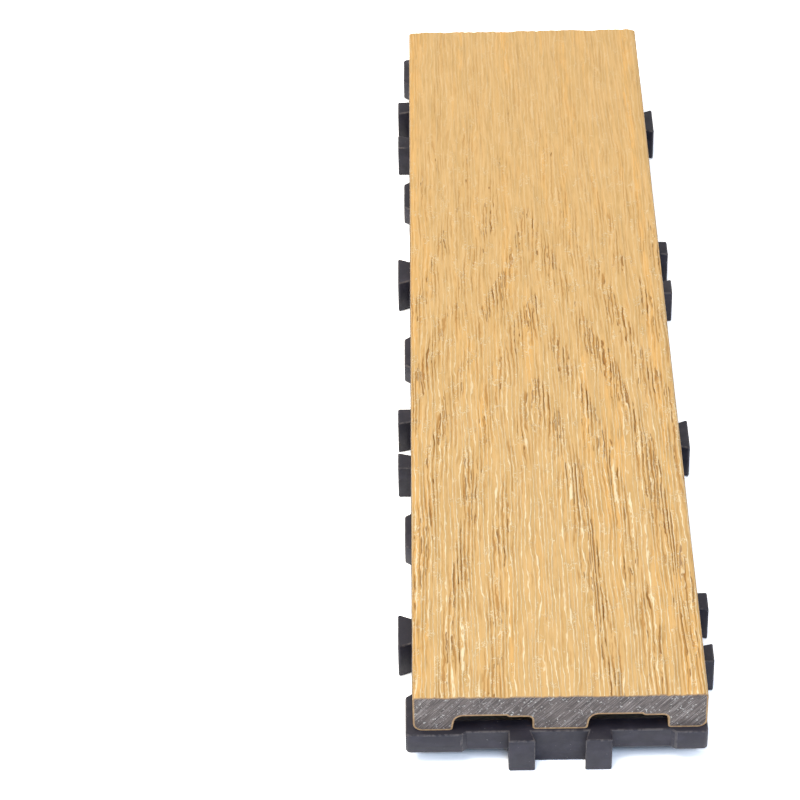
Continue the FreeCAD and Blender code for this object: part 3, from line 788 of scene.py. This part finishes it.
def makeBoard():
    # The pilot holes are drilled, then the grain sinks the top and fades out over its rounded edges.
    sizes = {
        "Emboss Depth": "Float",
        "Swell": "Float",
        "Top": "Float",
        "Fade": "Float",
        "Pilot Radius": "Float",
        "Pilot Depth": "Float",
        "Pitch": "Float",
        "Count": "Int",
    }
    tree, source, keys = newTree("embossedBoard", sizes)
    bit = addNode(tree, "GeometryNodeMeshCylinder", {
        "Vertices": board["pilotSides"],
        "Radius": source["Pilot Radius"],
        "Depth": calc(tree, "MULTIPLY", source["Pilot Depth"], 2.0),
    })
    bits = copiesOn(tree, screwSpots(tree, source, seatHeight), bit.outputs[0])
    drilled = cutOut(tree, source["Geometry"], bits, "MANIFOLD")

    place = addNode(tree, "GeometryNodeInputPosition").outputs[0]
    low = calc(tree, "SUBTRACT", source["Top"], source["Fade"])
    weight = smooth(tree, axesOf(tree, place)[2], low, source["Top"])
    sunk = calc(tree, "SUBTRACT", 1.0, figureHeight(tree, woodFigure(tree, place)))
    sunk = calc(tree, "MULTIPLY", sunk, source["Emboss Depth"])
    swell = noise(tree, place, board["swellSize"], detail=3.0, roughness=0.6)
    swell = smooth(tree, swell, *board["swellRange"])
    sunk = calc(tree, "MULTIPLY_ADD", swell, source["Swell"], sunk)
    sunk = calc(tree, "MULTIPLY", sunk, weight)
    move = addNode(tree, "ShaderNodeCombineXYZ", {2: calc(tree, "MULTIPLY", sunk, -1.0)})
    sockets = {"Geometry": drilled, "Offset": move.outputs[0]}
    embossed = addNode(tree, "GeometryNodeSetPosition", sockets).outputs[0]
    skinned = setMaterial(tree, embossed, capSkin)
    onCore = addNode(tree, "GeometryNodeInputNamedAttribute", {"Name": "core"}, data_type="BOOLEAN")
    addNode(tree, "NodeGroupOutput", {0: setMaterial(tree, skinned, sawnCore, onCore.outputs[0])})
    made = bake("deckBoard", boardCarrier(), tree, keys, {
        "Emboss Depth": board["embossDepth"],
        "Swell": board["swell"],
        "Top": boardHigh.z,
        "Fade": board["topRadius"],
        "Pilot Radius": board["pilotRadius"],
        "Pilot Depth": screwHigh.z + board["pilotSpare"] - seatHeight,
        "Pitch": base["cell"],
        "Count": base["cells"],
    })
    shadeByAngle(made.data, board["sharpAbove"])
    finishPiece(made, "deck_board")


# The grid base: its lattice, its soft edges and its ejector marks.
base = {
    "cells": 4,
    "cell": 75.0 * mm,
    "edgeBevel": 0.38 * mm,
    "bevelSegments": 2,
    "bevelAngle": math.radians(38),
    "flatAngle": math.radians(0.6),  # faces closer than this are one face
    "railDepth": 6.0 * mm,
    "ribDepth": 4.5 * mm,
    "railMiddle": (33.7 * mm, 146.1 * mm),  # from the tile's middle, on the side and end rails
    "blockMiddle": (35.2 * mm, 147.9 * mm),  # the same for tabs and socket blocks
    "lipMiddle": 9.7 * mm,  # from a socket's middle to the middle of each lip
    "blockMark": 2.4 * mm,  # radii of the round ejector marks
    "railMark": 1.9 * mm,
    "armMark": 1.15 * mm,
    "armMarkPlace": 8.1 * mm,
    "markDepth": 0.12 * mm,
    "markSides": 32,
    "sharpAbove": 32,
}


def ejectorMarks():
    # Where the pins pushed the moulding out: middle and radius of each round mark.
    railX, railY = base["railMiddle"]
    blockX, blockY = base["blockMiddle"]
    rail, rib = seatHeight - base["railDepth"], seatHeight - base["ribDepth"]
    lip, arm, cell = base["lipMiddle"], base["armMarkPlace"], base["cell"]
    onBlock, onRail, onArm = base["blockMark"], base["railMark"], base["armMark"]
    marks = [((0.0, blockY, 0.0), onBlock)]
    marks += [((side * lip, -blockY, 0.0), onBlock) for side in (-1, 1)]
    marks += [((x, y, rail), onRail) for x in (-railX, railX) for y in (-railY, railY)]
    marks += [((x, k * cell, rail), onRail) for x in (-railX, railX) for k in (-1, 0, 1)]
    for index in range(base["cells"]):
        y = (base["cells"] - 1 - 2 * index) / 2 * cell
        tabSide = 1 if index % 2 == 0 else -1
        marks.append(((tabSide * blockX, y, 0.0), onBlock))
        marks += [((-tabSide * blockX, y + side * lip, 0.0), onBlock) for side in (-1, 1)]
        marks += [((-side * arm, y + side * arm, rib), onArm) for side in (-1, 1)]
    return marks


def markTree():
    # Sinks a shallow disc into the moulding at each loose point that has a mark radius.
    tree, source, keys = newTree("ejectorMarks", {"Mark Depth": "Float"})
    sockets = {"Name": "markRadius"}
    radius = addNode(tree, "GeometryNodeInputNamedAttribute", sockets, data_type="FLOAT").outputs[0]
    sockets = {"Geometry": source["Geometry"], "Selection": calc(tree, "GREATER_THAN", radius, 0.0)}
    parts = addNode(tree, "GeometryNodeSeparateGeometry", sockets, domain="POINT").outputs
    disc = addNode(tree, "GeometryNodeMeshCylinder", {
        "Vertices": base["markSides"],
        "Radius": 1.0,
        "Depth": calc(tree, "MULTIPLY", source["Mark Depth"], 2.0),
    })
    size = addNode(tree, "ShaderNodeCombineXYZ", {0: radius, 1: radius, 2: 1.0})
    discs = copiesOn(tree, parts[0], disc.outputs[0], Scale=size.outputs[0])
    discs = setMaterial(tree, discs, plastic)
    addNode(tree, "NodeGroupOutput", {0: cutOut(tree, parts[1], discs, "MANIFOLD")})
    return tree, keys


def softenedBase():
    # The CAD moulding with its outer edges softened, as they leave a mould.
    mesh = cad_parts["grid_base"].data.copy()
    mesh.materials.clear()
    made = bmesh.new()
    made.from_mesh(mesh)
    bmesh.ops.remove_doubles(made, verts=made.verts, dist=mergeDistance)
    bmesh.ops.dissolve_limit(made, angle_limit=base["flatAngle"], verts=made.verts, edges=made.edges)
    outer = [edge for edge in made.edges if edge.is_convex]
    corners = [edge.index for edge in outer if edge.calc_face_angle() > base["bevelAngle"]]
    made.to_mesh(mesh)
    made.free()
    weights = mesh.attributes.new("bevel_weight_edge", "FLOAT", "EDGE")
    for index in corners:
        weights.data[index].value = 1.0
    mesh.materials.append(plastic)
    mesh.materials.append(rubbedPlastic)
    carrier = linkObject("gridBaseCarrier", mesh)
    bevel = carrier.modifiers.new("softEdges", "BEVEL")
    bevel.width = base["edgeBevel"]
    bevel.segments = base["bevelSegments"]
    bevel.limit_method = "WEIGHT"
    bevel.use_clamp_overlap = False
    bevel.loop_slide = False
    bevel.material = 1
    return evaluated(carrier)


def makeBase():
    # The ejector marks' middles ride along as loose points, with their radii.
    rounded = softenedBase()
    made = bmesh.new()
    made.from_mesh(rounded)
    radius = made.verts.layers.float.new("markRadius")
    for spot, size in ejectorMarks():
        made.verts.new(spot)[radius] = size
    made.to_mesh(rounded)
    made.free()
    tree, keys = markTree()
    carrier = linkObject("gridBaseMarks", rounded)
    made = bake("gridBase", carrier, tree, keys, {"Mark Depth": base["markDepth"]})
    shadeByAngle(made.data, base["sharpAbove"])
    finishPiece(made, "grid_base")


# One screw. All four are alike.
screw = {
    "headRadius": 2.8 * mm,
    "headHeight": 2.2 * mm,
    "headRounding": 1.25 * mm,
    "roundingSteps": 6,
    "seatChamfer": 0.08 * mm,
    "rootRadius": 1.12 * mm,
    "sides": 40,
    "threadRadius": 1.45 * mm,
    "threadPitch": 1.1 * mm,
    "threadStart": 0.35 * mm,  # above the head's seat
    "threadSpare": 0.6 * mm,  # left bare below the point
    "ridgeRadius": 0.19 * mm,
    "ridgeSides": 3,
    "stepsPerTurn": 24,
    "pointLength": 2.6 * mm,
    "recessReach": 2.9 * mm,
    "recessWidth": 0.8 * mm,
    "recessDepth": 1.3 * mm,
    "turnSeed": 5,
    "sharpAbove": 40,
}


def screwCarrier():
    # One screw at the origin, its head's seat at z = 0 and its point up.
    length = screwHigh.z - screwLow.z - screw["headHeight"]
    face, chamfer = -screw["headHeight"], screw["seatChamfer"]
    head, rounding, root = screw["headRadius"], screw["headRounding"], screw["rootRadius"]
    section = [Vector((0.0, face))]
    for k in range(screw["roundingSteps"] + 1):
        angle = math.pi / 2 * k / screw["roundingSteps"]
        out, down = math.sin(angle) * rounding, math.cos(angle) * rounding
        section.append(Vector((head - rounding + out, face + rounding - down)))
    section += [Vector((head, -chamfer)), Vector((head - chamfer, 0.0))]
    section += [Vector((root, 0.0)), Vector((root, length - screw["pointLength"])), Vector((0.0, length))]
    made = bmesh.new()
    verts = [made.verts.new((p.x, 0.0, p.y)) for p in section]
    edges = [made.edges.new(pair) for pair in zip(verts, verts[1:])]
    bmesh.ops.spin(
        made, geom=verts + edges, axis=(0, 0, 1), cent=(0, 0, 0),
        angle=math.tau, steps=screw["sides"], use_merge=True,
    )
    bmesh.ops.remove_doubles(made, verts=made.verts, dist=mergeDistance)
    bmesh.ops.recalc_face_normals(made, faces=made.faces)
    return meshFrom(made, "screwCarrier", screwSteel)


def crossRecess(tree, source):
    # The screw with two crossed slots cut into its head's face.
    depth = calc(tree, "MULTIPLY", source["Recess Depth"], 2.0)
    down = calc(tree, "MULTIPLY", source["Head Height"], -1.0)
    lowered = addNode(tree, "ShaderNodeCombineXYZ", {2: down}).outputs[0]
    current = source["Geometry"]
    for alongX, alongY in (("Recess Reach", "Recess Width"), ("Recess Width", "Recess Reach")):
        size = addNode(tree, "ShaderNodeCombineXYZ", {0: source[alongX], 1: source[alongY], 2: depth})
        slot = addNode(tree, "GeometryNodeMeshCube", {"Size": size.outputs[0]}).outputs[0]
        slot = addNode(tree, "GeometryNodeTransform", {"Geometry": slot, "Translation": lowered}).outputs[0]
        current = cutOut(tree, current, slot, "EXACT")
    return current


def threadRidge(tree, source):
    # The thread: a thin ridge that winds up the shank.
    helix = addNode(tree, "GeometryNodeCurveSpiral", {
        "Resolution": screw["stepsPerTurn"],
        "Rotations": source["Thread Turns"],
        "Start Radius": source["Thread Radius"],
        "End Radius": source["Thread Radius"],
        "Height": source["Thread Length"],
    })
    sockets = {"Resolution": screw["ridgeSides"], "Radius": screw["ridgeRadius"]}
    ridge = addNode(tree, "GeometryNodeCurvePrimitiveCircle", sockets, mode="RADIUS")
    sockets = {"Curve": helix.outputs[0], "Profile Curve": ridge.outputs[0], "Fill Caps": True}
    thread = addNode(tree, "GeometryNodeCurveToMesh", sockets).outputs[0]
    sockets = {"Geometry": thread, "Translation": (0, 0, screw["threadStart"])}
    return addNode(tree, "GeometryNodeTransform", sockets).outputs[0]


def makeScrews():
    sizes = {
        "Count": "Int",
        "Pitch": "Float",
        "Seat": "Float",
        "Recess Reach": "Float",
        "Recess Width": "Float",
        "Recess Depth": "Float",
        "Head Height": "Float",
        "Thread Radius": "Float",
        "Thread Turns": "Float",
        "Thread Length": "Float",
    }
    tree, source, keys = newTree("crossHeadScrews", sizes)
    whole = addNode(tree, "GeometryNodeJoinGeometry", {0: crossRecess(tree, source)})
    tree.links.new(threadRidge(tree, source), whole.inputs[0])
    sockets = {"Max": (0.0, 0.0, math.pi), "Seed": screw["turnSeed"]}
    turn = addNode(tree, "FunctionNodeRandomValue", sockets, data_type="FLOAT_VECTOR").outputs[0]
    spots = screwSpots(tree, source, source["Seat"])
    solid = copiesOn(tree, spots, whole.outputs[0], Rotation=turn)
    addNode(tree, "NodeGroupOutput", {0: setMaterial(tree, solid, screwSteel)})
    shank = screwHigh.z - screwLow.z - screw["headHeight"]
    threadLength = shank - screw["pointLength"] - screw["threadSpare"]
    made = bake("boardScrews", screwCarrier(), tree, keys, {
        "Count": base["cells"],
        "Pitch": base["cell"],
        "Seat": screwLow.z + screw["headHeight"],
        "Recess Reach": screw["recessReach"],
        "Recess Width": screw["recessWidth"],
        "Recess Depth": screw["recessDepth"],
        "Head Height": screw["headHeight"],
        "Thread Radius": screw["threadRadius"] - screw["ridgeRadius"],
        "Thread Turns": threadLength / screw["threadPitch"],
        "Thread Length": threadLength,
    })
    shadeByAngle(made.data, screw["sharpAbove"])
    finishPiece(made, "board_screws")


makeBoard()
makeBase()
makeScrews()


# Floor, world and lamps.
stage = {
    "floorReach": 6.0,
    "floorSeen": (2.45, 2.45, 2.45, 1.0),  # as the camera sees it; past 1, so that lit floor is white
    "floorBounce": (0.35, 0.35, 0.35, 1.0),  # what the floor throws back on the object
    "underTile": (4 * mm, 1 * mm),  # inside the board's outline, where the floor turns dark
    "world": 0.6,
    "worldTint": (0.96, 0.98, 1.0, 1.0),
    "keyLight": {
        "place": (-0.45, -0.25, 1.3), "target": (0, 0, 0),
        "size": 1.0, "power": 12.2, "colour": (1.0, 0.94, 0.84),
    },
    "frontLight": {
        "place": (0.2, -1.3, 0.58), "target": (0, -0.1, 0),
        "size": 0.8, "power": 5.9, "colour": (0.40, 0.63, 1.0),
    },
}


def cameraSees(tree):
    # 1 for the camera's own rays and for what shows in gloss or glass.
    path = addNode(tree, "ShaderNodeLightPath").outputs
    seen = calc(tree, "MAXIMUM", path["Is Camera Ray"], path["Is Glossy Ray"])
    return calc(tree, "MAXIMUM", seen, path["Is Transmission Ray"])


def makeFloor():
    # Pale to the camera, except under the tile, where it would shine through the windows.
    reach = stage["floorReach"]
    corners = [(-reach, -reach, 0), (reach, -reach, 0), (reach, reach, 0), (-reach, reach, 0)]
    mesh = bpy.data.meshes.new("floor")
    mesh.from_pydata(corners, [], [(0, 1, 2, 3)])
    floor = linkObject("floor", mesh)
    material, tree, shader, place = startMaterial("paleFloor")
    tree.nodes.remove(shader)
    axes = axesOf(tree, place)
    inside, outside = stage["underTile"]
    beside = []
    for axis, edge in ((axes[0], boardHigh.x), (axes[1], boardHigh.y)):
        beside.append(smooth(tree, calc(tree, "ABSOLUTE", axis), edge - inside, edge - outside))
    lifted = calc(tree, "MULTIPLY", cameraSees(tree), calc(tree, "MAXIMUM", *beside))
    colour = blendColours(tree, lifted, stage["floorBounce"], stage["floorSeen"])
    matt = addNode(tree, "ShaderNodeBsdfDiffuse", {"Color": colour})
    tree.links.new(matt.outputs[0], tree.nodes["Material Output"].inputs[0])
    mesh.materials.append(material)


def makeWorld():
    world = bpy.data.worlds.new("studio")
    world.use_nodes = True
    bpy.context.scene.world = world
    tree = world.node_tree
    light = tree.nodes["Background"]
    light.inputs[0].default_value = stage["worldTint"]
    light.inputs[1].default_value = stage["world"]
    white = addNode(tree, "ShaderNodeBackground", {0: (1, 1, 1, 1), 1: 1.0})
    sockets = {0: cameraSees(tree), 1: light.outputs[0], 2: white.outputs[0]}
    mixed = addNode(tree, "ShaderNodeMixShader", sockets)
    tree.links.new(mixed.outputs[0], tree.nodes["World Output"].inputs[0])


def areaLight(name):
    values = stage[name]
    lamp = bpy.data.lights.new(name, "AREA")
    lamp.shape = "DISK"
    lamp.size = values["size"]
    lamp.energy = values["power"]
    lamp.color = values["colour"]
    made = linkObject(name, lamp)
    made.location = values["place"]
    aim = Vector(values["target"]) - Vector(values["place"])
    made.rotation_euler = aim.to_track_quat("-Z", "Y").to_euler()


# The camera, fitted to the photograph's view of the tile.
view = {
    "imageWidth": 800,
    "sensor": 36.0,
    "focal": 3057.5,  # the lens's distance, in pixels of an image that wide
    "place": (-28.34 * mm, -668.4 * mm, 537.9 * mm),
    "down": math.radians(39.19),
    "heading": math.radians(-0.90),
    "roll": math.radians(-1.46),
}


def makeCamera():
    down, heading, roll = view["down"], view["heading"], view["roll"]
    level = math.cos(down)
    ahead = Vector((math.sin(heading) * level, math.cos(heading) * level, -math.sin(down)))
    right = Vector((math.cos(heading), -math.sin(heading), 0.0))
    up = right.cross(ahead)
    turned = right * math.cos(roll) + up * math.sin(roll)
    upright = up * math.cos(roll) - right * math.sin(roll)
    data = bpy.data.cameras.new("camera")
    data.sensor_width = view["sensor"]
    data.lens = view["sensor"] * view["focal"] / view["imageWidth"]
    camera = linkObject("camera", data)
    axes = Matrix((turned, upright, -ahead)).transposed().to_4x4()
    camera.matrix_world = Matrix.Translation(view["place"]) @ axes
    bpy.context.scene.camera = camera


makeFloor()
makeWorld()
areaLight("keyLight")
areaLight("frontLight")
makeCamera()
bpy.context.scene.view_settings.view_transform = "Standard"
print("stage set")
